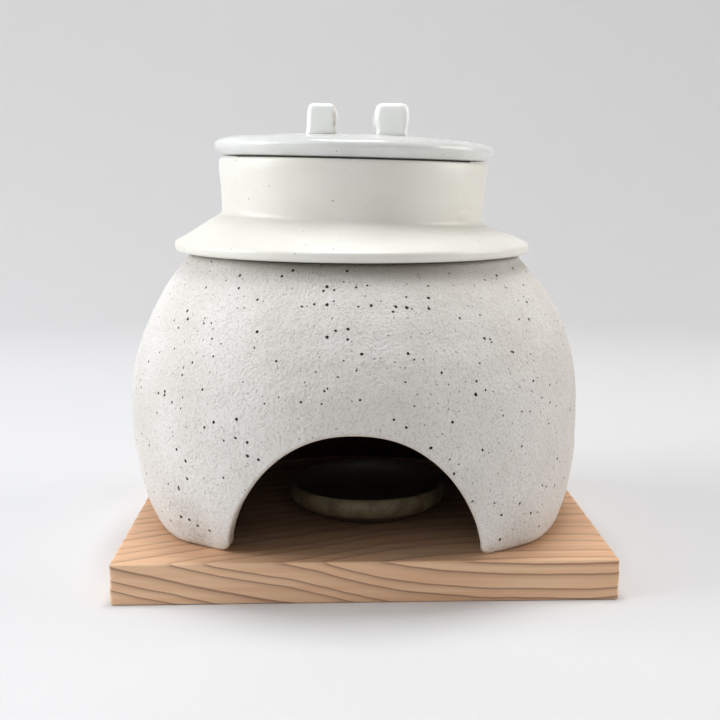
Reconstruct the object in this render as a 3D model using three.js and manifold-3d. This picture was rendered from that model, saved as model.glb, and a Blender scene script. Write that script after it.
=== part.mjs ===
// A rice pot with its table stove: a clay dome with a fire mouth, a brimmed pot that hangs in the
// dome's open top, a lid with two battens to lift it by, a fuel saucer in the fire chamber, and a
// cedar board under it all. Millimetres, +Z up. The origin is on the board's underside, on the
// stove's own axis, and the fire mouth faces -Y.
import * as THREE from "three";
import { mergeVertices } from "three/addons/utils/BufferGeometryUtils.js";
import Module from "manifold-3d";

const { degToRad } = THREE.MathUtils;

// Driving dimensions. Heights inside a piece's own entry are above the board's top.
const restGap = 0.3;
const board = { width: 184, depth: 165, thickness: 15.5, centreX: 2.25, frontY: -73, edge: 0.8 };
const stove = {
  beltRadius: 90.8,
  beltHeight: 47,
  topHeight: 106.2,
  domeRise: 85,
  skirtDrop: 95.8,
  skirtPower: 2.5,
  wall: 7,
  footRadius: 4,
  rimRadius: 2.5,
  turn: degToRad(-1),
};
const mouth = { halfWidth: 46.4, height: 50.6, risePower: 1.6, bowPower: 2.2, flare: 4 };
const saucer = {
  centreX: 5.3,
  centreY: -7.5,
  radius: 33,
  height: 12.5,
  footRadius: 22.5,
  footEdge: 1,
  bellyHeight: 3,
  rimWall: 3.4,
  floor: 3.6,
  floorRadius: 18,
};
const pot = {
  centreX: -1,
  bottomHeight: 62,
  bottomRadius: 28,
  bowlTopHeight: 92,
  bellyRadius: 50.5,
  brimRadius: 71.4,
  brimEdge: 3.6,
  coneTopHeight: 120.4,
  coneTopRadius: 52.3,
  neckRadius: 53.7,
  mouthHeight: 143,
  wall: 5,
  lip: 1.8,
};
const lid = { radius: 56, edgeHeight: 6.6, crown: 9.6, ringRadius: 46.5, ringWall: 4, ringDepth: 5 };
const batten = {
  width: 11.4,
  length: 61,
  topHeight: 163.7,
  corner: 2.6,
  bevel: 1.2,
  centres: { left: -12.4, right: 14 },
};

// How many flats stand in for a full turn.
const turns = { stove: 64, pot: 56, lid: 56, saucer: 44 };

const boardTop = board.thickness;
const brimUnderside = stove.topHeight + restGap;
const lidUnderside = pot.mouthHeight + restGap;

// Plain colours close to the fired clays and the wood.
const materials = {
  stone: { color: 0xd9d6ce, roughness: 0.9, metalness: 0 },
  glaze: { color: 0xe6e4d8, roughness: 0.35, metalness: 0 },
  lidGlaze: { color: 0xe4e6e6, roughness: 0.2, metalness: 0 },
  darkGlaze: { color: 0x8a8470, roughness: 0.5, metalness: 0 },
  cedar: { color: 0xc99a73, roughness: 0.7, metalness: 0 },
};

const wasm = await Module();
wasm.setup();

// Turn a three.js geometry into a solid that can be cut.
function toSolid(geometry) {
  const bare = geometry.clone();
  bare.deleteAttribute("normal");
  bare.deleteAttribute("uv");
  const merged = mergeVertices(bare, 1e-4);
  return new wasm.Manifold(
    new wasm.Mesh({
      numProp: 3,
      vertProperties: merged.attributes.position.array,
      triVerts: new Uint32Array(merged.index.array),
    }),
  );
}

// Turn a cut solid back into a three.js geometry.
function toGeometry(solid) {
  const mesh = solid.getMesh();
  const geometry = new THREE.BufferGeometry();
  geometry.setAttribute("position", new THREE.BufferAttribute(mesh.vertProperties, 3));
  geometry.setIndex(new THREE.BufferAttribute(mesh.triVerts, 1));
  geometry.computeVertexNormals();
  return geometry;
}

// Spin a profile of (radius, height) points about +Z. The profile runs anticlockwise, seen with the
// radius to the right and the height up, so the faces point out.
function turned(profile, segments) {
  return new THREE.LatheGeometry(profile, segments).rotateX(Math.PI / 2);
}

// Points of an arc in a profile, from one angle to another, in degrees.
function arc(centreRadius, centreHeight, radius, from, to, steps) {
  const points = [];
  for (let i = 0; i <= steps; i++) {
    const angle = degToRad(from + ((to - from) * i) / steps);
    points.push(
      new THREE.Vector2(
        centreRadius + radius * Math.cos(angle),
        centreHeight + radius * Math.sin(angle),
      ),
    );
  }
  return points;
}

function at(radius, height) {
  return new THREE.Vector2(radius, height);
}

// Points of a curve between two profile points, pulled towards a corner.
function bend(from, corner, to, steps) {
  return new THREE.QuadraticBezierCurve(from, corner, to).getPoints(steps);
}

function piece(name, geometry, look) {
  const mesh = new THREE.Mesh(geometry, new THREE.MeshStandardMaterial(look));
  mesh.name = name;
  return mesh;
}

// The stove's wall is a surface of revolution: an ellipse above the belt, a squarer curve below it.
// The inside is the same curve, one wall thickness in.
function stoveRadius(height, inset) {
  const above = height > stove.beltHeight;
  const reach = above ? stove.domeRise - inset : stove.skirtDrop;
  const power = above ? 2 : stove.skirtPower;
  const share = Math.abs(height - stove.beltHeight) / reach;
  return (stove.beltRadius - inset) * Math.sqrt(1 - share ** power);
}

// A run of points up the stove's wall, closer together towards the top, where it curves most.
function wallRun(lowest, highest, inset, steps) {
  const points = [];
  for (let i = 0; i <= steps; i++) {
    const height = lowest + (highest - lowest) * Math.sin(((i / steps) * Math.PI) / 2);
    points.push(at(stoveRadius(height, inset), height));
  }
  return points;
}

function stoveProfile() {
  const { footRadius, rimRadius, topHeight, wall } = stove;
  const footEdge = stoveRadius(footRadius, 0);
  const rimEdge = stoveRadius(topHeight - rimRadius, 0);
  const innerRim = stoveRadius(topHeight - rimRadius, wall);
  const outside = [
    ...arc(footEdge - footRadius, footRadius, footRadius, -90, -30, 2),
    ...wallRun(footRadius, topHeight - rimRadius, 0, 13),
    at(rimEdge - rimRadius, topHeight),
  ];
  const inside = [
    at(innerRim + rimRadius / 2, topHeight),
    ...wallRun(footRadius / 2, topHeight - rimRadius, wall, 9).reverse(),
    at(stoveRadius(0, wall) + footRadius / 2, 0),
  ];
  const profile = [...outside, ...inside];
  profile.push(profile[0].clone());
  return profile;
}

// Half the fire mouth's width at a height, a little narrower than an ellipse on its way up.
function mouthHalfWidth(height) {
  const { halfWidth, height: apex, risePower, bowPower } = mouth;
  return halfWidth * (1 - (height / apex) ** risePower) ** (1 / bowPower);
}

// The outline of the fire mouth, an arch whose feet flare out where they meet the board.
function mouthCutter() {
  const { height: apex, flare } = mouth;
  const steps = 14;
  const belowBoard = -5;
  const depth = stove.beltRadius + stove.wall;
  const first = Math.asin(flare / apex);
  const right = [];
  for (let i = 0; i < steps; i++) {
    const height = apex * Math.sin(first + ((Math.PI / 2 - first) * i) / steps);
    right.push(at(mouthHalfWidth(height), height));
  }
  const foot = right[0].x;
  const outline = new THREE.Shape();
  outline.moveTo(-foot - flare, belowBoard);
  outline.lineTo(foot + flare, belowBoard);
  outline.lineTo(foot + flare, 0);
  outline.quadraticCurveTo(foot, 0, foot, flare);
  right.slice(1).forEach((point) => outline.lineTo(point.x, point.y));
  outline.lineTo(0, apex);
  right.reverse().forEach((point) => outline.lineTo(-point.x, point.y));
  outline.quadraticCurveTo(-foot, 0, -foot - flare, 0);
  const settings = { depth, bevelEnabled: false, curveSegments: 3 };
  return new THREE.ExtrudeGeometry(outline, settings).rotateX(Math.PI / 2);
}

function makeStove() {
  const shell = toSolid(turned(stoveProfile(), turns.stove));
  const mesh = piece("stove_body", toGeometry(shell.subtract(toSolid(mouthCutter()))), materials.stone);
  mesh.position.z = boardTop + restGap;
  mesh.rotation.z = stove.turn;
  return mesh;
}

// A shallow dish with a thick rounded rim, whose outside curves in to a small foot.
function makeSaucer() {
  const { radius, height, footRadius, footEdge, bellyHeight, rimWall, floor, floorRadius } = saucer;
  const rimRound = rimWall / 2;
  const rimHeight = height - rimRound;
  const inner = radius - rimWall;
  const profile = [
    at(0, 0),
    at(footRadius, 0),
    ...bend(at(footRadius + footEdge, footEdge), at(radius, bellyHeight), at(radius, rimHeight), 4),
    ...arc(radius - rimRound, rimHeight, rimRound, 45, 180, 3),
    ...bend(at(inner, rimHeight), at(inner, floor), at(floorRadius, floor), 3).slice(1),
    at(0, floor),
  ];
  const mesh = piece("fuel_saucer", turned(profile, turns.saucer), materials.darkGlaze);
  mesh.position.set(saucer.centreX, saucer.centreY, boardTop + restGap);
  return mesh;
}

// The bowl of the pot, from the flat of its bottom out to the belly, one inset inside its outside.
function bowlRun(inset, steps) {
  const { bottomHeight, bottomRadius, bowlTopHeight, bellyRadius } = pot;
  const flat = bottomRadius - inset;
  const rise = bowlTopHeight - bottomHeight - inset;
  const points = [];
  for (let i = 0; i <= steps; i++) {
    const angle = ((i / steps) * Math.PI) / 2;
    const radius = flat + (bellyRadius - inset - flat) * Math.sin(angle);
    points.push(at(radius, bowlTopHeight - rise * Math.cos(angle)));
  }
  return points;
}

// The pot: a round-bottomed bowl below a flat-based conical brim, and a neck that widens upwards.
function potProfile() {
  const { bottomHeight, bellyRadius, brimRadius, brimEdge, wall, lip } = pot;
  const { coneTopHeight, coneTopRadius, neckRadius, mouthHeight } = pot;
  const edgeRound = brimEdge / 2;
  const edgeHeight = brimUnderside + edgeRound / 3 + edgeRound;
  const innerNeck = neckRadius - wall;
  return [
    at(0, bottomHeight),
    ...bowlRun(0, 6),
    at(bellyRadius, brimUnderside),
    at(brimRadius - brimEdge, brimUnderside),
    ...arc(brimRadius - edgeRound, edgeHeight, edgeRound, -60, 75, 4),
    at(coneTopRadius, coneTopHeight),
    at(neckRadius, mouthHeight - lip),
    at(neckRadius - lip, mouthHeight),
    at(innerNeck + lip / 2, mouthHeight),
    at(innerNeck, mouthHeight - lip),
    ...bowlRun(wall, 6).reverse(),
    at(0, bottomHeight + wall),
  ];
}

function makePot() {
  const mesh = piece("rice_pot", turned(potProfile(), turns.pot), materials.glaze);
  mesh.position.set(pot.centreX, 0, boardTop + restGap);
  return mesh;
}

// The lid's top, a low dome from an outer radius to the middle.
function crownRun(lift, outerRadius, steps) {
  const points = [];
  for (let i = 0; i <= steps; i++) {
    const radius = outerRadius * (1 - i / steps);
    const fall = (lid.crown - lid.edgeHeight) * (radius / lid.radius) ** 2;
    points.push(at(radius, lid.crown - fall + lift));
  }
  return points;
}

// The lid lies over the pot's mouth, and a ring under it keeps it in place.
function makeLidDisc() {
  const { radius, edgeHeight, ringRadius, ringWall, ringDepth } = lid;
  const edgeRound = edgeHeight / 2;
  const profile = [
    at(0, 0),
    at(ringRadius - ringWall, 0),
    at(ringRadius - ringWall, -ringDepth),
    at(ringRadius, -ringDepth),
    at(ringRadius, 0),
    at(radius - edgeRound, 0),
    ...arc(radius - edgeRound, edgeRound, edgeRound, -60, 60, 4),
    ...crownRun(0, radius - edgeRound, 5),
  ];
  const mesh = piece("lid_disc", turned(profile, turns.lid), materials.lidGlaze);
  mesh.position.z = boardTop + restGap + lidUnderside;
  return mesh;
}

// A batten is a bar with rounded top edges and ends, and its underside follows the lid's dome.
function makeBatten(side) {
  const { width, length, topHeight, corner, bevel } = batten;
  const height = topHeight - lidUnderside;
  const half = width / 2;
  const section = new THREE.Shape();
  section.moveTo(-half, 0);
  section.lineTo(half, 0);
  section.lineTo(half, height - corner);
  section.quadraticCurveTo(half, height, half - corner, height);
  section.lineTo(-half + corner, height);
  section.quadraticCurveTo(-half, height, -half, height - corner);
  const settings = {
    depth: length - 2 * bevel,
    bevelSize: bevel,
    bevelOffset: -bevel,
    bevelThickness: bevel,
    bevelSegments: 1,
    curveSegments: 3,
  };
  const bar = new THREE.ExtrudeGeometry(section, settings).rotateX(Math.PI / 2);
  bar.translate(batten.centres[side], length / 2 - bevel, 0);
  const underBar = -1;
  const crown = [at(0, underBar), at(lid.radius, underBar), ...crownRun(restGap, lid.radius, 5)];
  const cut = toSolid(bar).subtract(toSolid(turned(crown, turns.lid)));
  const mesh = piece(`lid_batten_${side}`, toGeometry(cut), materials.lidGlaze);
  mesh.position.z = boardTop + restGap + lidUnderside;
  return mesh;
}

// The board, with its long edges just broken.
function makeBoard() {
  const { width, depth, thickness, centreX, frontY, edge } = board;
  const half = width / 2;
  const section = new THREE.Shape();
  section.moveTo(-half + edge, 0);
  section.lineTo(half - edge, 0);
  section.lineTo(half, edge);
  section.lineTo(half, thickness - edge);
  section.lineTo(half - edge, thickness);
  section.lineTo(-half + edge, thickness);
  section.lineTo(-half, thickness - edge);
  section.lineTo(-half, edge);
  const plank = new THREE.ExtrudeGeometry(section, { depth, bevelEnabled: false });
  plank.rotateX(Math.PI / 2);
  plank.translate(centreX, frontY + depth, 0);
  return piece("base_board", plank, materials.cedar);
}

const set = new THREE.Group();
set.add(makeBoard());
set.add(makeStove());
set.add(makeSaucer());
set.add(makePot());
set.add(makeLidDisc());
Object.keys(batten.centres).forEach((side) => set.add(makeBatten(side)));

export default set;
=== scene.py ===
"""The looks of a clay rice pot on its table stove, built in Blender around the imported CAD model."""

import math

import bpy
import numpy as np
from mathutils import Matrix, Vector, noise


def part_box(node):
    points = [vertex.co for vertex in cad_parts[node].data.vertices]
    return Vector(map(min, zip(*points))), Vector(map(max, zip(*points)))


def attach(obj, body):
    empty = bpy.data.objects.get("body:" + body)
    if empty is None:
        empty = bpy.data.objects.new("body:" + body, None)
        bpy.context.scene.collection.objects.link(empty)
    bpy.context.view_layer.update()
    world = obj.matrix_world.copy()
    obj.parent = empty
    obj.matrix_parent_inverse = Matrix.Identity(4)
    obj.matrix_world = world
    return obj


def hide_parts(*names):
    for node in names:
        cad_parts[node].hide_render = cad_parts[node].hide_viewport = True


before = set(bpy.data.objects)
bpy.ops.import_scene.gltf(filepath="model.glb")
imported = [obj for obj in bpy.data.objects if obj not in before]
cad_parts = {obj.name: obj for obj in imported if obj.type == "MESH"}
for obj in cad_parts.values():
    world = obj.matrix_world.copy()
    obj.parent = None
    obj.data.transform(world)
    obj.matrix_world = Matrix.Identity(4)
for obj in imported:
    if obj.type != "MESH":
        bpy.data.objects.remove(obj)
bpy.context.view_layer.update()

# ---------------------------------------------------------------------------------------------
# Units and driving sizes. Shapes are worked out in millimetres and stored in metres.
# ---------------------------------------------------------------------------------------------
MM = 0.001
BOARD_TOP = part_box("base_board")[1].z / MM
BOARD_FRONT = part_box("base_board")[0].y / MM
STOVE_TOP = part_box("stove_body")[1].z / MM
SAUCER_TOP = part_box("fuel_saucer")[1].z / MM
POT_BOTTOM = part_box("rice_pot")[0].z / MM
LID_GAP = 0.4  # how much lower the pot's rim is than the CAD's, which shows a dark line under the lid
POT_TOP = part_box("rice_pot")[1].z / MM - LID_GAP
POT_X = (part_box("rice_pot")[0].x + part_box("rice_pot")[1].x) / 2 / MM
BRIM_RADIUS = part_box("rice_pot")[1].y / MM
LID_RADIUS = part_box("lid_disc")[1].y / MM
LID_RING_DEPTH = 5.0
LID_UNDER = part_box("lid_disc")[0].z / MM + LID_RING_DEPTH
CONTACT = 0.1  # clearance under the pieces that stand on the board

STOVE = {
    "belt_radius": 90.8,
    "belt_height": BOARD_TOP + 47.0,
    "dome_rise": 85.0,
    "skirt_drop": 95.8,
    "skirt_power": 2.5,
    "wall": 7.0,
    "foot_round": 3.0,
    "rim_round": 2.2,
}
MOUTH = {
    "centre": -0.5,  # along X
    "half_width": 46.1,
    "height": 50.4,
    "rise_power": 1.65,
    "bow_power": 2.2,
    "flare": 5.6,
    "edge_round": 1.2,
    "skew": 0.15,  # how far the cut runs towards +X, per millimetre of depth
    "corner": math.radians(38.0),  # where the mouth's thin edge starts to turn into the thick foot
    "blend": math.radians(12.0),
}
# The hand-thrown wall isn't quite round. Beside the mouth it strays towards +X by the height above
# the board, and its foot stands forward by the angle from the front, in degrees.
DRIFT = ((0.0, 1.1), (22.0, 0.4), (48.0, -0.4), (84.0, 0.3), (106.0, 0.0))
DRIFT_STARTS = (48.0, 66.0)  # distances from the middle plane between which it sets in
FOOT_FORWARD = ((-86.0, 0.0), (-57.0, 2.6), (-37.0, -5.8), (36.0, -1.4), (55.0, 4.4), (86.0, 0.0))
FOOT_REACH = 40.0  # how high up the wall the foot's shift reaches
TURN = math.radians(-1.0)  # the stove and the lid stand turned a little on the board
# How far each level falls towards +X, per millimetre.
BRIM_TILT = -0.011
NECK_TILT = -0.043
LID_TILT = -0.028
PAINTED_BRIM_SHADOW = 7.0  # height of the band of painted shadow below the stove's rim, where the brim's shadow falls
BOARD_PAINTED_SHADE = 0.5  # how strongly painted shade darkens the board's top inside the stove

POT = {
    "wall": 5.0,
    "bottom_radius": 28.0,
    "bowl_radius": 50.5,
    "bowl_top": BOARD_TOP + 92.0,
    "brim_under": BOARD_TOP + 107.1,
    "edge_top": BOARD_TOP + 110.9,
    "junction": BOARD_TOP + 120.2,  # where the brim's cone meets the neck
    "junction_radius": 52.3,
    "neck_radius": 53.9,
}
GLAZE_MARK = {
    "direction": math.radians(53.0),  # from the front towards +X
    "above_junction": 3.2,
    "half_width": 5.0,
    "half_height": 2.5,
    "proud": 0.35,
}
LID = {
    "ring_radius": 46.5,
    "ring_wall": 4.0,
    "flat_radius": 52.8,  # of the underside, where the rounded edge begins
    "middle_height": 9.6,
    "crown": 3.0,  # how much lower its top is at the edge
}
BATTEN_END = 2.3  # radius of the battens' rounded ends
BATTEN_SINK = 1.2  # how deep their feet go into the lid
BATTENS = {
    # Half widths, the top's height above the board, and how strongly a brown line marks one corner.
    "left": {"foot": 5.6, "middle": 5.6, "top": 5.3, "height": 163.9, "line": 1.0},
    "right": {"foot": 5.8, "middle": 6.5, "top": 6.0, "height": 163.8, "line": 0.0},
}
SAUCER_FOOT = 21.8  # outer radius of the ring that the saucer stands on
BOARD_EDGE = 0.9  # radius of the board's edges

CAMERA = {
    "place": (-8.57, -449.56, BOARD_TOP + 137.7),
    "pitch": math.radians(9.638),  # down from level
    "yaw": math.radians(1.382),  # from straight ahead towards +X
    "roll": math.radians(-0.164),
    "lens": 54.83,
    "sensor": 36.0,
}
MIDDLE = (0.0, 0.0, 0.09)  # the two places the lights point at, in metres
BACK_WALL = (-0.1, 1.3, 0.60)
LIGHTS = {
    # name: place, target, side of the square, power in watts, colour
    "window_left": ((-1.30, -0.07, 0.62), MIDDLE, 0.82, 13.8, (0.97, 0.98, 1.0)),
    "left_front": ((-1.03, -0.62, 0.75), MIDDLE, 0.82, 3.8, (0.97, 0.98, 1.0)),
    "window_right": ((1.30, 0.0, 0.55), MIDDLE, 0.82, 9.7, (1.0, 0.95, 0.90)),
    "ceiling": ((0.0, 0.02, 1.10), MIDDLE, 0.45, 7.7, (0.98, 0.99, 1.0)),
    "front": ((0.0, -0.90, 0.33), MIDDLE, 0.5, 0.7, (1.0, 0.99, 0.98)),
    "backdrop": ((-0.25, 0.35, 0.80), BACK_WALL, 0.5, 1.5, (1.0, 0.99, 0.98)),
}
WORLD = (0.02, (1.0, 1.0, 1.0))  # strength and colour


# ---------------------------------------------------------------------------------------------
# Mesh tools
# ---------------------------------------------------------------------------------------------
def smooth_step(low, high, value):
    """0 below low, 1 above high, and a smooth rise between them."""
    share = np.clip((np.asarray(value, float) - low) / (high - low), 0.0, 1.0)
    return share * share * (3.0 - 2.0 * share)


def eased(value, stops):
    """The levels of (place, level) stops, joined by smooth rises."""
    places, levels = np.array(stops).T
    i = np.clip(np.searchsorted(places, value) - 1, 0, len(places) - 2)
    share = smooth_step(0.0, 1.0, (value - places[i]) / (places[i + 1] - places[i]))
    return levels[i] + (levels[i + 1] - levels[i]) * share


def make_piece(name, points, faces, attributes=None):
    """A smooth-shaded mesh object from points in millimetres, with named numbers on its vertices."""
    mesh = bpy.data.meshes.new(name)
    mesh.from_pydata((np.asarray(points, float) * MM).tolist(), [], faces)
    mesh.polygons.foreach_set("use_smooth", [True] * len(mesh.polygons))
    for key, values in (attributes or {}).items():
        layer = mesh.attributes.new(key, "FLOAT", "POINT")
        layer.data.foreach_set("value", np.asarray(values, np.float32))
    mesh.update()
    piece = bpy.data.objects.new(name, mesh)
    bpy.context.scene.collection.objects.link(piece)
    return piece


def noise_at(points, size, seed=0.0):
    """Smooth noise of about -1 to 1 at each point, with bumps of the given size in millimetres."""
    shift = Vector((seed * 7.3, seed * -3.1, seed * 5.7))
    return np.array([noise.noise(Vector(p) / size + shift) for p in points])


def arc(centre_r, centre_z, radius, start, end, steps):
    """Points (r, z) of an arc, angles in degrees."""
    angles = np.radians(np.linspace(start, end, steps + 1))
    return [(centre_r + radius * math.cos(a), centre_z + radius * math.sin(a)) for a in angles]


def bend(a, b, c, steps):
    """Points, or whole rows of points, from a to c, pulled towards the corner b."""
    return [(1 - t) ** 2 * a + 2 * t * (1 - t) * b + t * t * c for t in np.linspace(0, 1, steps + 1)]


def rounded(corners, steps=6):
    """A polyline through corners (r, z, fillet length), each corner rounded by a short curve."""
    line = []
    for i, (r, z, fillet) in enumerate(corners):
        here = np.array([r, z])
        if fillet == 0:
            line.append(here)
            continue
        before = np.array(corners[i - 1][:2]) - here
        after = np.array(corners[i + 1][:2]) - here
        reach_before = min(fillet / np.linalg.norm(before), 0.49)
        reach_after = min(fillet / np.linalg.norm(after), 0.49)
        line += bend(here + before * reach_before, here, here + after * reach_after, steps)
    return [tuple(p) for p in line]


def subdivided(line, step):
    """The same polyline with no segment longer than step."""
    points = [line[0]]
    for a, b in zip(line[:-1], line[1:]):
        parts = max(1, math.ceil(math.dist(a, b) / step))
        a, b = np.array(a), np.array(b)
        points += [tuple(a + (b - a) * k / parts) for k in range(1, parts + 1)]
    return points


def ring_faces(rings, columns, wrap=False):
    """Quads between neighbouring rings of points."""
    faces = []
    for j in range(rings if wrap else rings - 1):
        start, above = j * columns, (j + 1) % rings * columns
        for i in range(columns):
            k = (i + 1) % columns
            faces.append((start + i, start + k, above + k, above + i))
    return faces


def closed_body(rings, first_pole, last_pole):
    """Vertices and faces of a stack of rings, closed by a single point at each end."""
    columns = len(rings[0])
    points = np.vstack([*rings, [first_pole], [last_pole]])
    first, last = len(points) - 2, len(points) - 1
    faces = ring_faces(len(rings), columns)
    last_ring = (len(rings) - 1) * columns
    for i in range(columns):
        k = (i + 1) % columns
        faces.append((first, k, i))
        faces.append((last, last_ring + i, last_ring + k))
    return points, faces


def spin(profile, columns):
    """Vertices and faces of a profile (r, z) spun about +Z. It starts and ends on the axis."""
    angles = np.linspace(0, 2 * math.pi, columns, endpoint=False)
    circle = np.stack([np.cos(angles), np.sin(angles)], axis=1)
    rings = [np.column_stack([circle * r, np.full(columns, z)]) for r, z in profile[1:-1]]
    return closed_body(rings, (0, 0, profile[0][1]), (0, 0, profile[-1][1]))


def radial(points, amount):
    """Moves points away from the upright axis by an amount each, in millimetres."""
    reach = np.maximum(np.hypot(points[:, 0], points[:, 1]), 1e-6)
    moved = points.copy()
    moved[:, :2] += points[:, :2] * (amount / reach)[:, None]
    return moved


def lean(points, slope, pivot, share=1.0):
    """Tips points about the Y direction at the pivot height, by a small slope."""
    moved = points.copy()
    moved[:, 2] += slope * points[:, 0] * share
    moved[:, 0] -= slope * (points[:, 2] - pivot) * share
    return moved


def turned(points):
    """Turns points with the stove and the lid, which stand a little askew."""
    return points @ np.array(Matrix.Rotation(TURN, 3, "Z")).T


# ---------------------------------------------------------------------------------------------
# Material tools
# ---------------------------------------------------------------------------------------------
class Look:
    """A material's node tree, with short calls for the nodes that the looks below share."""

    def __init__(self, name, roughness, **sockets):
        self.material = bpy.data.materials.new(name)
        self.material.use_nodes = True
        self.tree = self.material.node_tree
        self.shader = self.tree.nodes["Principled BSDF"]
        self.shader.inputs["Roughness"].default_value = roughness
        for socket, value in sockets.items():
            self.shader.inputs[socket].default_value = value
        self.place = self.node("ShaderNodeTexCoord").outputs["Object"]

    def node(self, kind, **settings):
        made = self.tree.nodes.new(kind)
        for key, value in settings.items():
            setattr(made, key, value)
        return made

    def feed(self, socket, value):
        if isinstance(value, bpy.types.NodeSocket):
            self.tree.links.new(value, socket)
        else:
            socket.default_value = value

    def number(self, operation, a, b=0.0, clamp=False):
        made = self.node("ShaderNodeMath", operation=operation, use_clamp=clamp)
        self.feed(made.inputs[0], a)
        self.feed(made.inputs[1], b)
        return made.outputs[0]

    def total(self, *parts):
        """The sum of (value, factor) pairs."""
        result = 0.0
        for value, factor in parts:
            result = self.number("ADD", result, self.number("MULTIPLY", value, factor))
        return result

    def vector(self, operation, a, b):
        made = self.node("ShaderNodeVectorMath", operation=operation)
        self.feed(made.inputs[0], a)
        self.feed(made.inputs[1], b)
        return made.outputs[0]

    def stretched(self, x, y, z):
        return self.vector("MULTIPLY", self.place, (x, y, z))

    def millimetres(self):
        """The place in the frame as three numbers in millimetres."""
        made = self.node("ShaderNodeSeparateXYZ")
        self.feed(made.inputs[0], self.vector("DIVIDE", self.place, (MM, MM, MM)))
        return made.outputs

    def grain(self, size, detail=2.0, roughness=0.5, source=None):
        """Noise from 0 to 1 with features of the given size in millimetres."""
        made = self.node("ShaderNodeTexNoise")
        self.feed(made.inputs["Vector"], source or self.place)
        made.inputs["Scale"].default_value = 1.0 / (size * MM)
        made.inputs["Detail"].default_value = detail
        made.inputs["Roughness"].default_value = roughness
        return made.outputs["Fac"]

    def ramp(self, value, *stops, smooth=True):
        """Maps a value through (position, number) stops."""
        made = self.node("ShaderNodeValToRGB")
        ramp = made.color_ramp
        ramp.interpolation = "EASE" if smooth else "LINEAR"
        while len(ramp.elements) < len(stops):
            ramp.elements.new(0.5)
        for element, (position, level) in zip(ramp.elements, stops):
            element.position = position
            element.color = (level, level, level, 1.0)
        self.feed(made.inputs[0], value)
        return made.outputs[0]

    def mix(self, share, a, b):
        made = self.node("ShaderNodeMix", data_type="RGBA")
        self.feed(made.inputs[0], share)
        for socket, value in ((made.inputs[6], a), (made.inputs[7], b)):
            self.feed(socket, (*value, 1.0) if isinstance(value, tuple) else value)
        return made.outputs[2]

    def stored(self, name):
        """A number that the mesh code stored on the vertices."""
        return self.node("ShaderNodeAttribute", attribute_name=name).outputs["Fac"]

    def specks(self, spacing, smallest, largest, seed, soft=0.12):
        """Round flecks about spacing apart on any surface: 1 inside a fleck, 0 outside.

        The flecks are balls scattered in space, so a surface cuts through 2 x radius / cell ** 3 of
        them for each square millimetre, and the cell size follows from that.
        """
        cell = ((smallest + largest) * spacing ** 2) ** (1 / 3)
        wobble = self.node("ShaderNodeTexNoise")
        wobble.inputs["Scale"].default_value = 1.0 / (largest * 1.4 * MM)
        self.feed(wobble.inputs["Vector"], self.place)
        push = self.vector("SUBTRACT", wobble.outputs["Color"], (0.5, 0.5, 0.5))
        push = self.vector("MULTIPLY", push, (largest * MM,) * 3)
        place = self.vector("ADD", self.vector("ADD", self.place, push), (seed, seed * 0.7, seed * 0.4))
        cells = self.node("ShaderNodeTexVoronoi")
        cells.inputs["Scale"].default_value = 1.0 / (cell * MM)
        self.feed(cells.inputs["Vector"], place)
        split = self.node("ShaderNodeSeparateColor")
        self.feed(split.inputs[0], cells.outputs["Color"])
        radius = self.total((split.outputs["Red"], largest - smallest), (1.0, smallest))
        inside = self.total((radius, 1.0 / soft), (cells.outputs["Distance"], -cell / soft))
        return self.number("ADD", inside, 0.0, clamp=True)

    def bump(self, height, depth, below=None):
        """A bump of the given depth in millimetres where height goes from 0 to 1."""
        made = self.node("ShaderNodeBump")
        made.inputs["Strength"].default_value = 1.0
        made.inputs["Distance"].default_value = depth * MM
        self.feed(made.inputs["Height"], height)
        if below is not None:
            self.feed(made.inputs["Normal"], below)
        return made.outputs[0]

    def finish(self, colour, normal):
        self.feed(self.shader.inputs["Base Color"], colour)
        self.feed(self.shader.inputs["Normal"], normal)
        return self.material


# ---------------------------------------------------------------------------------------------
# Materials
# ---------------------------------------------------------------------------------------------
def stove_clay():
    """Matt white stoneware with a sandy skin and iron specks, near-black brown inside, and with a
    painted shadow in a band under the brim.
    """
    look = Look("stove_clay", roughness=0.88, IOR=1.42)
    sand = look.grain(0.9, detail=3.0, roughness=0.6)
    lumps = look.grain(3.4, detail=2.0)
    wrinkles = look.grain(9.0, detail=3.0, roughness=0.55, source=look.stretched(0.45, 0.45, 1.0))
    clouds = look.ramp(look.grain(34.0, detail=3.0, roughness=0.55), (0.3, 0.0), (0.7, 1.0))
    base = look.mix(clouds, (0.645, 0.622, 0.585), (0.715, 0.698, 0.67))
    base = look.mix(look.ramp(sand, (0.34, 0.55), (0.52, 0.0)), base, (0.50, 0.47, 0.43))
    # painted shadow: the band under the brim is darkened where the brim's shadow falls
    base = look.mix(look.stored("painted_shade"), base, (0.20, 0.185, 0.145))
    faint = look.specks(2.8, 0.10, 0.30, seed=3.0, soft=0.2)
    grey = look.specks(5.2, 0.14, 0.42, seed=5.0)
    black = look.specks(8.2, 0.20, 0.70, seed=1.0, soft=0.08)
    base = look.mix(look.number("MULTIPLY", faint, 0.35), base, (0.24, 0.20, 0.17))
    base = look.mix(look.number("MULTIPLY", grey, 0.75), base, (0.12, 0.10, 0.09))
    base = look.mix(black, base, (0.022, 0.017, 0.014))
    base = look.mix(look.number("MULTIPLY", look.stored("edge"), 0.6), base, (0.58, 0.47, 0.36))
    dark_inside = look.mix(clouds, (0.045, 0.019, 0.011), (0.075, 0.037, 0.022))
    base = look.mix(look.stored("inside"), base, dark_inside)
    normal = look.bump(wrinkles, 0.8)
    normal = look.bump(lumps, 0.4, normal)
    normal = look.bump(sand, 0.6, normal)
    normal = look.bump(black, -0.1, normal)
    return look.finish(base, normal)


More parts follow.
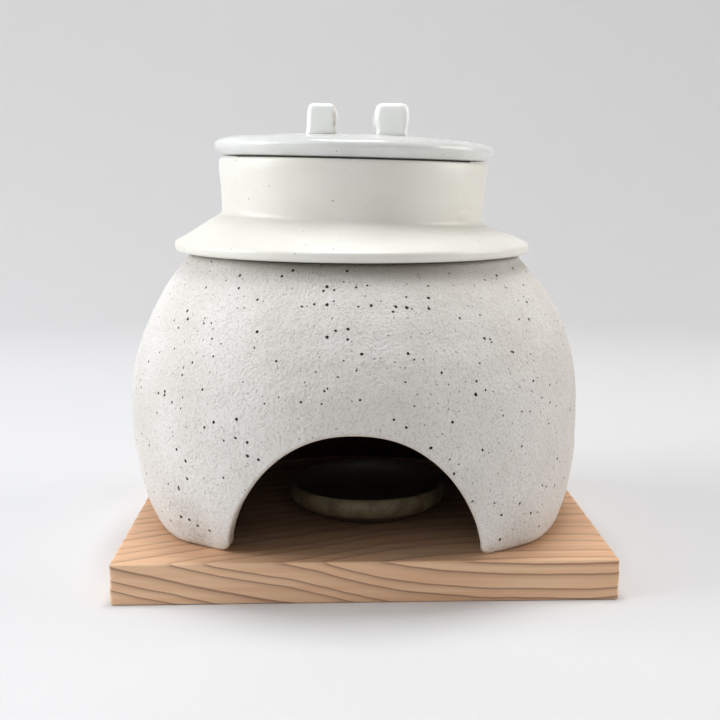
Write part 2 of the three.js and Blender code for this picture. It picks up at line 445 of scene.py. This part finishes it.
def pot_glaze():
    """A satin cream glaze over throwing lines, with a few pinholes."""
    look = Look("pot_glaze", roughness=0.36, IOR=1.5)
    rings = look.grain(2.6, source=look.stretched(0.04, 0.04, 1.0))
    clouds = look.ramp(look.grain(30.0), (0.3, 0.0), (0.7, 1.0))
    base = look.mix(clouds, (0.71, 0.70, 0.635), (0.76, 0.755, 0.70))
    dots = look.number("MULTIPLY", look.specks(13.0, 0.15, 0.4, seed=5.0), 0.7)
    base = look.mix(dots, base, (0.16, 0.12, 0.08))
    normal = look.bump(rings, 0.10)
    normal = look.bump(look.grain(1.6), 0.03, normal)
    return look.finish(base, normal)


def lid_glaze(name, thick, thicker):
    """A glossier, bluish white glaze in two thicknesses, that thins to brown on sharp edges."""
    look = Look(name, roughness=0.17, IOR=1.5)
    clouds = look.ramp(look.grain(16.0), (0.3, 0.0), (0.7, 1.0))
    base = look.mix(clouds, thick, thicker)
    dots = look.number("MULTIPLY", look.specks(9.0, 0.12, 0.42, seed=6.0), 0.65)
    base = look.mix(dots, base, (0.14, 0.13, 0.13))
    patchy = look.ramp(look.grain(3.0, detail=3.0), (0.35, 0.35), (0.6, 1.0))
    base = look.mix(look.number("MULTIPLY", look.stored("thin"), patchy), base, (0.40, 0.28, 0.17))
    return look.finish(base, look.bump(look.grain(4.5, detail=1.0), 0.06))


def saucer_glaze():
    """A rough olive-grey glaze over a browner foot, blackened inside."""
    look = Look("saucer_glaze", roughness=0.55)
    clouds = look.ramp(look.grain(6.0, detail=4.0, roughness=0.6), (0.35, 0.0), (0.65, 1.0))
    base = look.mix(clouds, (0.105, 0.078, 0.040), (0.175, 0.142, 0.082))
    base = look.mix(look.stored("bare"), base, (0.085, 0.05, 0.025))
    base = look.mix(look.stored("inside"), base, (0.055, 0.045, 0.03))
    return look.finish(base, look.bump(look.grain(1.3, detail=3.0), 0.14))


def cedar():
    """Cedar, cut so the growth rings run along X and curve down towards the right end."""
    look = Look("cedar", roughness=0.6)
    x, y, z = look.millimetres()
    right = look.number("MAXIMUM", x, 0.0)
    slow = look.number("SUBTRACT", look.grain(75.0, detail=1.0), 0.5)
    quick = look.number("SUBTRACT", look.grain(15.0, detail=2.0), 0.5)
    depth = look.total((z, 1.0), (y, -0.55), (x, 0.22), (slow, 6.0), (quick, 1.2))
    curve = look.number("MULTIPLY", look.number("POWER", right, 2.0), 0.00165)
    depth = look.number("SUBTRACT", depth, curve)
    years = look.node("ShaderNodeTexNoise", noise_dimensions="1D")
    years.inputs["Scale"].default_value = 1.0
    years.inputs["Detail"].default_value = 0.0
    look.feed(years.inputs["W"], look.number("MULTIPLY", depth, 1 / 7.0))
    growth = look.total((depth, 1 / 4.6), (years.outputs["Fac"], 0.9))
    season = look.number("FRACT", growth)
    late = look.ramp(season, (0.0, 0.0), (0.5, 0.08), (0.8, 0.45), (0.87, 1.0), (0.96, 0.9),
                     (1.0, 0.0), smooth=False)
    fibres = look.grain(0.45, detail=3.0, source=look.stretched(0.02, 1.0, 1.0))
    streaks = look.grain(2.6, detail=2.0, source=look.stretched(0.03, 1.0, 1.0))
    streaks = look.ramp(streaks, (0.3, 0.0), (0.7, 1.0))
    # The growth rings are half as strong on the board's top, and its front face has painted light,
    # which makes it a little paler.
    on_top = look.number("GREATER_THAN", z, BOARD_TOP - 0.5)
    late = look.number("MULTIPLY", late, look.total((1.0, 1.0), (on_top, -0.5)))
    base = look.mix(streaks, (0.70, 0.395, 0.22), (0.77, 0.50, 0.31))
    base = look.mix(late, base, (0.22, 0.08, 0.035))
    base = look.mix(look.number("MULTIPLY", fibres, 0.16), base, (0.80, 0.56, 0.38))
    # painted light: the board's front face is mixed a little towards a paler colour
    painted_light_front = look.number("LESS_THAN", y, BOARD_FRONT + 0.6)
    base = look.mix(look.number("MULTIPLY", painted_light_front, 0.12), base, (0.98, 0.74, 0.50))
    # painted shade on the board's top inside the stove
    base = look.mix(look.stored("painted_shade"), base, (0.07, 0.028, 0.016))
    return look.finish(base, look.bump(fibres, 0.06))


def cloth_floor():
    """A pale matt ground."""
    look = Look("pale_floor", roughness=0.95)
    base = look.mix(look.grain(1.2), (0.66, 0.663, 0.672), (0.70, 0.70, 0.705))
    return look.finish(base, look.bump(look.grain(1.0), 0.05))


# ---------------------------------------------------------------------------------------------
# The stove. Its mesh is a grid that wraps both ways: each column runs round the wall's section, and
# the rows run along the edge that stands on the board and arches over the fire mouth.
# ---------------------------------------------------------------------------------------------
def stove_radius(height, inset=0.0):
    """Radius of the stove's wall at a height: an ellipse above the belt, squarer below it."""
    rise = np.asarray(height, float) - STOVE["belt_height"]
    above = (np.abs(rise) / (STOVE["dome_rise"] - inset)) ** 2
    below = (np.abs(rise) / STOVE["skirt_drop"]) ** STOVE["skirt_power"]
    return (STOVE["belt_radius"] - inset) * np.sqrt(1 - np.where(rise > 0, above, below))


def polar(angle, height, inset=0.0):
    """A point of the wall. Angles count from -Y, positive towards +X."""
    reach = stove_radius(height, inset)
    return np.stack([reach * np.sin(angle), -reach * np.cos(angle), height], axis=-1)


def mouth_outline():
    """The fire mouth's edge as (x, height above the board), from its right foot to its left one."""
    apex, flare = MOUTH["height"], MOUTH["flare"]
    heights = apex * np.sin(np.linspace(math.asin(flare / apex), math.pi / 2, 160))
    rise = (heights / apex) ** MOUTH["rise_power"]
    widths = MOUTH["half_width"] * (1 - rise) ** (1 / MOUTH["bow_power"])
    t = np.linspace(0, 1, 16)[:-1]
    toe = np.column_stack([widths[0] + flare * (1 - t) ** 2, flare * t ** 2])
    right = np.vstack([toe, np.column_stack([widths, heights])])
    return np.vstack([right, right[-2::-1] * (-1, 1)]) + (MOUTH["centre"], 0.0)


def lower_edge(columns):
    """The wall's lower edge as evenly spaced (angle, height): round the back, then over the mouth."""
    base = BOARD_TOP + CONTACT
    front = mouth_outline()
    heights = front[:, 1] + base
    angles = np.arcsin(front[:, 0] / stove_radius(heights))
    right_side = np.linspace(math.pi, angles[0], 400)[:-1]
    left_side = np.linspace(angles[-1], -math.pi, 400)[1:]
    level = np.full(len(left_side), base)
    angle = np.concatenate([right_side, angles, left_side])
    height = np.concatenate([level, heights, level])
    steps = np.hypot(np.diff(angle) * stove_radius(base), np.diff(height))
    reach = np.concatenate([[0], np.cumsum(steps)])
    wanted = np.linspace(0, reach[-1], columns, endpoint=False)
    return np.interp(wanted, reach, angle), np.interp(wanted, reach, height)


def moved_into_clay(angle, height, amount):
    """The lower edge moved along the wall into the clay, by an amount in millimetres.

    The edge is padded by its own ends, as it runs all round.
    """
    scale = stove_radius(BOARD_TOP)
    around = np.concatenate([[angle[-1] + 2 * math.pi], angle, [angle[0] - 2 * math.pi]])
    upright = np.concatenate([[height[-1]], height, [height[0]]])
    along = np.gradient(around)[1:-1] * scale
    up = np.gradient(upright)[1:-1]
    length = np.hypot(along, up)
    return angle + up / length * amount / scale, height - along / length * amount


def cut_through(outer, height):
    """Where a cut that starts at outer, and runs back and a little to +X, meets the wall's inside."""
    skew = MOUTH["skew"]
    a = 1 + skew ** 2
    b = 2 * (skew * outer[:, 0] + outer[:, 1])
    c = (outer[:, :2] ** 2).sum(axis=1) - stove_radius(height, STOVE["wall"]) ** 2
    depth = (-b - np.sqrt(np.maximum(b ** 2 - 4 * a * c, 0))) / (2 * a)
    return outer + depth[:, None] * (skew, 1.0, 0.0)


def sheet(edge_angle, edge_height, inset, rim_height, steps):
    """Rows down one side of the wall, from the rim to a line along the lower edge.

    The columns are even at the rim, and slide to the lower edge's own places on the way down.
    """
    rim_angle = np.linspace(math.pi, -math.pi, len(edge_angle), endpoint=False)
    rows = []
    for share in np.linspace(0, 1, steps + 1):
        angle = rim_angle + (edge_angle - rim_angle) * share ** 1.5
        rows.append(polar(angle, rim_height + (edge_height - rim_height) * share, inset))
    return rows


def rim_rows(outer, inner):
    """Rows over the rim's rounded top, split where the flat of it is."""
    outer_corner, inner_corner = outer * (1, 1, 0), inner * (1, 1, 0)
    outer_corner[:, 2] = inner_corner[:, 2] = STOVE_TOP
    across = inner_corner - outer_corner
    down = bend(outer_corner + across * 0.35, outer_corner + across * 0.05, outer, 5)[:-1]
    up = bend(inner, inner_corner, inner_corner - across * 0.25, 4)[1:]
    return down, up


def stove_rows(columns):
    """Rows of the stove's mesh, how near each column is to the mouth, and where two parts begin.

    The parts are the rows of the cut, under the foot and through the mouth, and those of the inside.
    """
    wall = STOVE["wall"]
    angle, height = lower_edge(columns)
    at_mouth = 1 - smooth_step(MOUTH["corner"], MOUTH["corner"] + MOUTH["blend"], np.abs(angle))
    fillet = STOVE["foot_round"] + (MOUTH["edge_round"] - STOVE["foot_round"]) * at_mouth
    outer_corner = polar(angle, height)
    straight = cut_through(outer_corner, height)
    inner_corner = polar(angle, height, wall) * (1 - at_mouth)[:, None] + straight * at_mouth[:, None]
    inner_angle = np.arctan2(inner_corner[:, 0], -inner_corner[:, 1])
    inner_angle = np.where(np.abs(inner_angle - angle) > math.pi, angle, inner_angle)
    through = inner_corner - outer_corner
    through /= np.linalg.norm(through, axis=1)[:, None]

    rim_height = STOVE_TOP - STOVE["rim_round"]
    out_angle, out_height = moved_into_clay(angle, height, fillet)
    in_angle, in_height = moved_into_clay(angle, height, fillet * 0.7)
    outside = sheet(out_angle, out_height, 0.0, rim_height, 90)
    inside = sheet(inner_angle + in_angle - angle, in_height, wall, rim_height, 56)
    outer_turn = bend(outside[-1], outer_corner, outer_corner + through * fillet[:, None], 6)[1:]
    inner_turn = bend(inner_corner - through * fillet[:, None] * 0.6, inner_corner, inside[-1], 5)[:-1]
    middle = [outer_turn[-1] * (1 - t) + inner_turn[0] * t for t in (0.33, 0.67)]
    rim_down, rim_up = rim_rows(outside[0], inside[0])

    cut = outer_turn + middle + inner_turn
    rows = rim_down + outside + cut + inside[::-1] + rim_up
    first_cut = len(rim_down) + len(outside)
    return rows, at_mouth, first_cut, first_cut + len(cut)


def dark_inside_share(row_count, at_mouth, first_cut, first_inside):
    """How much of the dark inside colour each point gets: all of the inside, and under the foot, but
    not the mouth's edge.
    """
    rows = np.arange(row_count)[:, None]
    from_mouth = smooth_step(first_inside - 3, first_inside + 1, rows)
    from_foot = smooth_step(first_cut + 1, first_cut + 3.5, rows)
    below_rim = 1 - smooth_step(row_count - 12, row_count - 4, rows)
    return (from_foot + (from_mouth - from_foot) * at_mouth) * below_rim


def make_stove(columns=560):
    """The stove: a wavy, uneven version of the smooth grid of rows."""
    rows, at_mouth, first_cut, first_inside = stove_rows(columns)
    points = np.vstack(rows)
    faces = [face[::-1] for face in ring_faces(len(rows), columns, wrap=True)]
    level = points[:, 2] - BOARD_TOP
    rim = STOVE_TOP - BOARD_TOP
    free = smooth_step(0.0, 12.0, level) * (1 - smooth_step(rim - 8.0, rim, level))
    wave = noise_at(points * (1, 1, 1.4), 46.0, seed=1.0) * 0.5
    rings = noise_at(points * (0.08, 0.08, 1.0), 6.0, seed=2.0) * 0.2
    lumps = noise_at(points, 5.5, seed=3.0) * 0.1
    points = radial(points, (wave + rings) * free + lumps)
    beside_mouth = smooth_step(*DRIFT_STARTS, np.abs(points[:, 0]))
    from_front = np.degrees(np.arctan2(points[:, 0], -points[:, 1]))
    points[:, 0] += eased(level, DRIFT) * beside_mouth
    points[:, 1] -= eased(from_front, FOOT_FORWARD) * (1 - smooth_step(0.0, FOOT_REACH, level))
    points = lean(points, BRIM_TILT, STOVE_TOP, smooth_step(80.0, rim, level))
    at_front = 1 - smooth_step(12.0, 50.0, np.abs(from_front))
    attributes = {
        "inside": dark_inside_share(len(rows), at_mouth, first_cut, first_inside).ravel(),
        "edge": np.repeat(smooth_step(first_cut - 2, first_cut + 3, np.arange(len(rows))), columns),
        # painted shadow of the brim: a band under the rim, darker towards the front
        "painted_shade": smooth_step(rim - PAINTED_BRIM_SHADOW, rim, level) * (0.4 + 0.5 * at_front),
    }
    return make_piece("stove_body_clay", turned(points), faces, attributes)


# ---------------------------------------------------------------------------------------------
# The pot and its lid
# ---------------------------------------------------------------------------------------------
def bowl_curve(inset):
    """The bowl's profile, a quarter ellipse from its flat bottom out to its belly."""
    bottom, top = POT_BOTTOM + inset, POT["bowl_top"]
    flat, belly = POT["bottom_radius"] - inset, POT["bowl_radius"] - inset
    return [(flat + (belly - flat) * math.sin(a), top - (top - bottom) * math.cos(a))
            for a in np.linspace(0, math.pi / 2, 22)]


def glaze_mark(points):
    """How far a small oval of thick glaze stands out from the neck."""
    angle = np.arctan2(points[:, 0], -points[:, 1])
    reach = np.hypot(points[:, 0], points[:, 1])
    across = (angle - GLAZE_MARK["direction"]) * reach / GLAZE_MARK["half_width"]
    up = points[:, 2] - POT["junction"] - GLAZE_MARK["above_junction"]
    from_middle = np.hypot(across, up / GLAZE_MARK["half_height"])
    outside = reach > POT["neck_radius"] - POT["wall"] / 2
    return GLAZE_MARK["proud"] * outside * smooth_step(1.0, 0.7, from_middle)


def make_pot():
    """The pot: a round bowl, a brim with a conical top, and an upright neck."""
    wall, bowl, bowl_top = POT["wall"], POT["bowl_radius"], POT["bowl_top"] + 0.5
    brim, edge_top, junction = POT["brim_under"], POT["edge_top"], POT["junction"]
    base, neck = POT["junction_radius"], POT["neck_radius"]
    upper = rounded([
        (bowl, bowl_top, 0),
        (bowl, brim, 2.0),
        (BRIM_RADIUS - 0.3, brim, 1.7),
        (BRIM_RADIUS, edge_top - 0.4, 1.3),
        (BRIM_RADIUS - 1.2, edge_top + 0.4, 1.2),
        (base, junction, 1.6),
        (base + 0.6, junction + 9.0, 5.0),
        (neck, POT_TOP - 3.0, 2.0),
        (neck - 0.4, POT_TOP, 1.2),
        (neck - 4.5, POT_TOP, 1.6),
        (neck - 5.3, POT_TOP - 3.0, 2.0),
        (base - 3.9, junction, 6.0),
        (bowl - wall, bowl_top, 0),
    ])
    outside = [(0.0, POT_BOTTOM)] + bowl_curve(0.0)
    inside = bowl_curve(wall)[::-1] + [(0.0, POT_BOTTOM + wall)]
    points, faces = spin(subdivided(outside + upper + inside, 1.2), 340)
    wave = noise_at(points * (1, 1, 0.5), 40.0, seed=4.0) * 0.3
    rings = noise_at(points * (0.05, 0.05, 1.0), 3.4, seed=5.0) * 0.09
    points = radial(points, wave + rings + glaze_mark(points))
    points[:, 0] += POT_X
    level = points[:, 2]
    above_brim = smooth_step(edge_top + 1.0, junction, level)
    at_rim = smooth_step(junction + 2.0, POT_TOP - 2.0, level)
    points = lean(points, BRIM_TILT, STOVE_TOP)
    points = lean(points, NECK_TILT - BRIM_TILT, junction, above_brim)
    points = lean(points, LID_TILT - NECK_TILT, junction, at_rim)
    return make_piece("rice_pot_clay", points, faces)


def crown(radius):
    """Height of the lid's top above its underside."""
    return LID["middle_height"] - LID["crown"] * (radius / LID_RADIUS) ** 2


def make_lid():
    """The lid: a disc with a crowned top, and a ring under it."""
    ring, ring_inside = LID["ring_radius"], LID["ring_radius"] - LID["ring_wall"]
    ring_under = LID_UNDER - LID_RING_DEPTH
    shoulder, top_edge = LID_RADIUS - 3.6, LID_RADIUS - 8.0
    outline = rounded([
        (0, LID_UNDER, 0),
        (ring_inside, LID_UNDER, 1.0),
        (ring_inside, ring_under, 1.2),
        (ring, ring_under, 1.2),
        (ring, LID_UNDER, 0.8),
        (LID["flat_radius"], LID_UNDER, 1.2),
        (LID_RADIUS, LID_UNDER + 2.9, 2.2),
        (LID_RADIUS - 0.4, LID_UNDER + 5.5, 1.8),
        (shoulder, LID_UNDER + crown(shoulder), 2.4),
        (top_edge, LID_UNDER + crown(top_edge), 0),
    ])
    top = [(r, LID_UNDER + crown(r)) for r in np.linspace(top_edge - 1.0, 0, 30)]
    points, faces = spin(subdivided(outline + top, 1.2), 340)
    points = radial(points, noise_at(points, 34.0, seed=6.0) * 0.3)
    on_top = smooth_step(0.5, 4.0, points[:, 2] - LID_UNDER)
    points[:, 2] += noise_at(points, 26.0, seed=7.0) * 0.2 * on_top
    points = lean(points, LID_TILT, LID_UNDER)
    return make_piece("lid_disc_clay", turned(points), faces)


def batten_section(shape, foot, top):
    """The outline of a batten across its length, anticlockwise from its right foot."""
    side = rounded([
        (shape["foot"] + 0.5, foot, 0),
        (shape["foot"], foot + 2.6, 2.0),
        (shape["middle"], (foot + top) / 2, 2.5),
        (shape["top"], top, 3.0),
        (0, top, 0),
    ], steps=8)
    right = subdivided(side, 0.8)
    left = [(-x, z) for x, z in right[-2::-1]]
    return np.array(right + left + [(0.0, foot)])


def batten_stations(length):
    """Sections along a batten: (distance, how far it is drawn in, and its share of that outline).

    The first three and the last three fill its flat ends.
    """
    turn = [(BATTEN_END * (1 - math.cos(a)), BATTEN_END * (1 - math.sin(a)))
            for a in np.linspace(0, math.pi / 2, 9)]
    end_shares = [0.3, 0.6, 0.85]
    stations = [(0.0, BATTEN_END, share) for share in end_shares]
    stations += [(distance, inset, 1.0) for distance, inset in turn]
    stations += [(distance, 0.0, 1.0) for distance in
                 np.linspace(BATTEN_END, length - BATTEN_END, 60)[1:-1]]
    stations += [(length - distance, inset, 1.0) for distance, inset in turn[::-1]]
    return stations + [(length, BATTEN_END, share) for share in end_shares[::-1]]


def make_batten(name, node, shape):
    """A clay bar with rounded edges and ends, which spreads a little where it meets the lid."""
    low, high = (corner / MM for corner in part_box(node))
    middle_x = (low.x + high.x) / 2
    length = high.y - low.y
    foot = LID_UNDER + crown(length / 2) - BATTEN_SINK
    top = BOARD_TOP + shape["height"] - LID_TILT * middle_x
    outline = batten_section(shape, foot, top)
    centre = np.array([0.0, (foot + top) / 2])
    size = np.abs(outline - centre).max(axis=0)
    layers = []
    for distance, inset, share in batten_stations(length):
        line = centre + (outline - centre) * ((1 - inset / size) * share)
        layers.append(np.column_stack([line[:, 0], np.full(len(line), distance), line[:, 1]]))
    points, faces = closed_body(layers, (0, 0, centre[1]), (0, length, centre[1]))
    corner = BATTEN_END * (1 - math.sqrt(0.5))
    off_line = np.hypot(points[:, 0] - shape["middle"] + corner, points[:, 1] - corner)
    thin = shape["line"] * np.exp(-(off_line / 0.6) ** 2)
    points += (middle_x, low.y, 0.0)
    points[:, 0] += noise_at(points, 16.0, seed=8.0) * 0.3
    points[:, 2] += noise_at(points, 18.0, seed=9.0) * 0.25 * smooth_step(foot, top, points[:, 2])
    points = lean(points, LID_TILT, LID_UNDER)
    return make_piece(name, turned(points), faces, {"thin": thin})


# ---------------------------------------------------------------------------------------------
# The saucer and the board
# ---------------------------------------------------------------------------------------------
def make_saucer():
    """The saucer: a shallow dish on a foot ring."""
    low, high = (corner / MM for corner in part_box("fuel_saucer"))
    radius = (high.x - low.x) / 2
    base, top = BOARD_TOP + CONTACT, SAUCER_TOP
    outline = rounded([
        (0, base + 0.8, 0),
        (SAUCER_FOOT - 3.3, base + 0.8, 0.8),
        (SAUCER_FOOT - 2.3, base, 0.6),
        (SAUCER_FOOT, base, 0.8),
        (radius - 4.2, base + 3.4, 3.0),
        (radius - 0.6, base + 6.4, 2.2),
        (radius, top - 2.6, 1.8),
        (radius - 1.5, top, 1.5),
        (radius - 3.2, top - 0.6, 1.4),
        (radius - 4.0, base + 8.0, 3.0),
        (radius - 11.0, base + 4.2, 4.0),
        (0, base + 3.6, 0),
    ])
    points, faces = spin(subdivided(outline, 1.0), 220)
    reach, level = np.hypot(points[:, 0], points[:, 1]), points[:, 2] - base
    inside = smooth_step(radius - 1.8, radius - 3.0, reach) * (level > 2.5)
    bare = smooth_step(5.4, 4.0, level) * (inside == 0)
    points = radial(points, noise_at(points, 22.0, seed=10.0) * 0.4)
    points += ((low.x + high.x) / 2, (low.y + high.y) / 2, 0.0)
    return make_piece("fuel_saucer_clay", points, faces, {"inside": inside, "bare": bare})


def axis_stops(low, high, radius, step):
    """Positions along one side of a box, close together within radius of its ends."""
    ends = radius * (1 - np.cos(np.linspace(0, math.pi / 2, 4)))
    middle = np.linspace(low + radius, high - radius, max(2, int((high - low) / step)))
    return np.concatenate([low + ends[:-1], middle, (high - ends[:-1])[::-1]])


def rounded_box(low, high, radius, step):
    """Points and faces of a box with rounded edges, as a fine grid of squares."""
    stops = [axis_stops(low[a], high[a], radius, step) for a in range(3)]
    index, points, faces = {}, [], []

    def vertex(key):
        if key not in index:
            index[key] = len(points)
            points.append([stops[a][key[a]] for a in range(3)])
        return index[key]

    for axis in range(3):
        u, v = (axis + 1) % 3, (axis + 2) % 3
        for side in (0, len(stops[axis]) - 1):
            for i in range(len(stops[u]) - 1):
                for j in range(len(stops[v]) - 1):
                    square = []
                    for du, dv in ((0, 0), (1, 0), (1, 1), (0, 1)):
                        key = [0, 0, 0]
                        key[axis], key[u], key[v] = side, i + du, j + dv
                        square.append(vertex(tuple(key)))
                    faces.append(tuple(square if side else square[::-1]))
    points = np.array(points)
    core = np.clip(points, np.array(low) + radius, np.array(high) - radius)
    out = points - core
    length = np.linalg.norm(out, axis=1)[:, None]
    return core + out / np.maximum(length, 1e-9) * np.minimum(length, radius), faces


def make_board():
    """The board, with rough-sawn ends and painted shade on its top inside the stove."""
    low, high = (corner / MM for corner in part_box("base_board"))
    points, faces = rounded_box(low, high, BOARD_EDGE, 1.8)
    to_end = np.minimum(points[:, 0] - low.x, high.x - points[:, 0])
    sawn = 1 - smooth_step(0.0, 2.0, to_end)
    points[:, 0] += sawn * noise_at(points * (0, 1, 0.5), 3.0, seed=11.0) * 0.35
    in_chamber = 1 - smooth_step(66.0, 76.0, np.hypot(points[:, 0], points[:, 1]))
    behind_mouth = smooth_step(-58.0, -25.0, points[:, 1])
    on_top = points[:, 2] > BOARD_TOP - 1
    # painted shade: the top inside the stove's chamber, behind the mouth, is darkened where the stove
    # shades it
    painted_shade = BOARD_PAINTED_SHADE * in_chamber * behind_mouth * on_top
    return make_piece("base_board_wood", points, faces, {"painted_shade": painted_shade})


# ---------------------------------------------------------------------------------------------
# Putting it together
# ---------------------------------------------------------------------------------------------
def place(piece, body, node, slot, material):
    """Gives a piece its material, ties it to its body and hides its CAD node. The slot is not used."""
    piece.data.materials.append(material)
    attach(piece, body)
    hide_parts(node)


place(make_board(), "board", "base_board", "cedar", cedar())
place(make_stove(), "stove", "stove_body", "stove_clay", stove_clay())
place(make_saucer(), "saucer", "fuel_saucer", "saucer_glaze", saucer_glaze())
place(make_pot(), "pot", "rice_pot", "pot_glaze", pot_glaze())
# painted light and shade: the lid and its battens share one glaze, but the lid's copy is painted darker
# for the shade on its rim, and the battens' copy paler for the light on their fronts
shaded_lid_look = lid_glaze("lid_glaze", (0.64, 0.655, 0.63), (0.72, 0.727, 0.71))
lit_batten_look = lid_glaze("batten_glaze_painted_light", (0.83, 0.85, 0.82), (0.89, 0.90, 0.88))
place(make_lid(), "lid", "lid_disc", "lid_glaze", shaded_lid_look)
for side, shape in BATTENS.items():
    node = f"lid_batten_{side}"
    place(make_batten(f"{node}_clay", node, shape), "lid", node, "lid_glaze", lit_batten_look)


# ---------------------------------------------------------------------------------------------
# Floor, light and camera
# ---------------------------------------------------------------------------------------------
def make_floor():
    """A wide floor that curves up all round, so every view has the same plain ground."""
    flat, curve, forward = 1100.0, 700.0, 400.0
    profile = [(r, 0.0) for r in np.linspace(0, flat - 10, 20)]
    profile += arc(flat, curve, curve, -90, 0, 32)
    profile += [(flat + curve, 2 * curve), (0.0, 2 * curve)]
    points, faces = spin(profile, 96)
    points[:, 1] -= forward
    roof = len(points) - 1
    floor = make_piece("floor", points[:-1], [face for face in faces if roof not in face])
    floor.data.materials.append(cloth_floor())


def make_lights():
    """Square area lights, and a dim even world."""
    for name, (location, target, size, power, colour) in LIGHTS.items():
        data = bpy.data.lights.new(name, "AREA")
        data.size = size
        data.energy = power
        data.color = colour
        light = bpy.data.objects.new(name, data)
        light.location = location
        light.rotation_euler = (Vector(target) - light.location).to_track_quat("-Z", "Y").to_euler()
        bpy.context.scene.collection.objects.link(light)
    world = bpy.data.worlds.new("room")
    world.use_nodes = True
    background = world.node_tree.nodes["Background"]
    background.inputs["Strength"].default_value = WORLD[0]
    background.inputs["Color"].default_value = (*WORLD[1], 1.0)
    bpy.context.scene.world = world
    bpy.context.scene.view_settings.view_transform = "Standard"


def make_camera():
    """The view that the photograph was taken from."""
    data = bpy.data.cameras.new("camera")
    data.lens = CAMERA["lens"]
    data.sensor_width = CAMERA["sensor"]
    camera = bpy.data.objects.new("camera", data)
    turn = Matrix.Rotation(-CAMERA["yaw"], 4, "Z")
    turn = turn @ Matrix.Rotation(math.pi / 2 - CAMERA["pitch"], 4, "X")
    turn = turn @ Matrix.Rotation(CAMERA["roll"], 4, "Z")
    camera.matrix_world = Matrix.Translation(Vector(CAMERA["place"]) * MM) @ turn
    bpy.context.scene.collection.objects.link(camera)
    bpy.context.scene.camera = camera


make_floor()
make_lights()
make_camera()
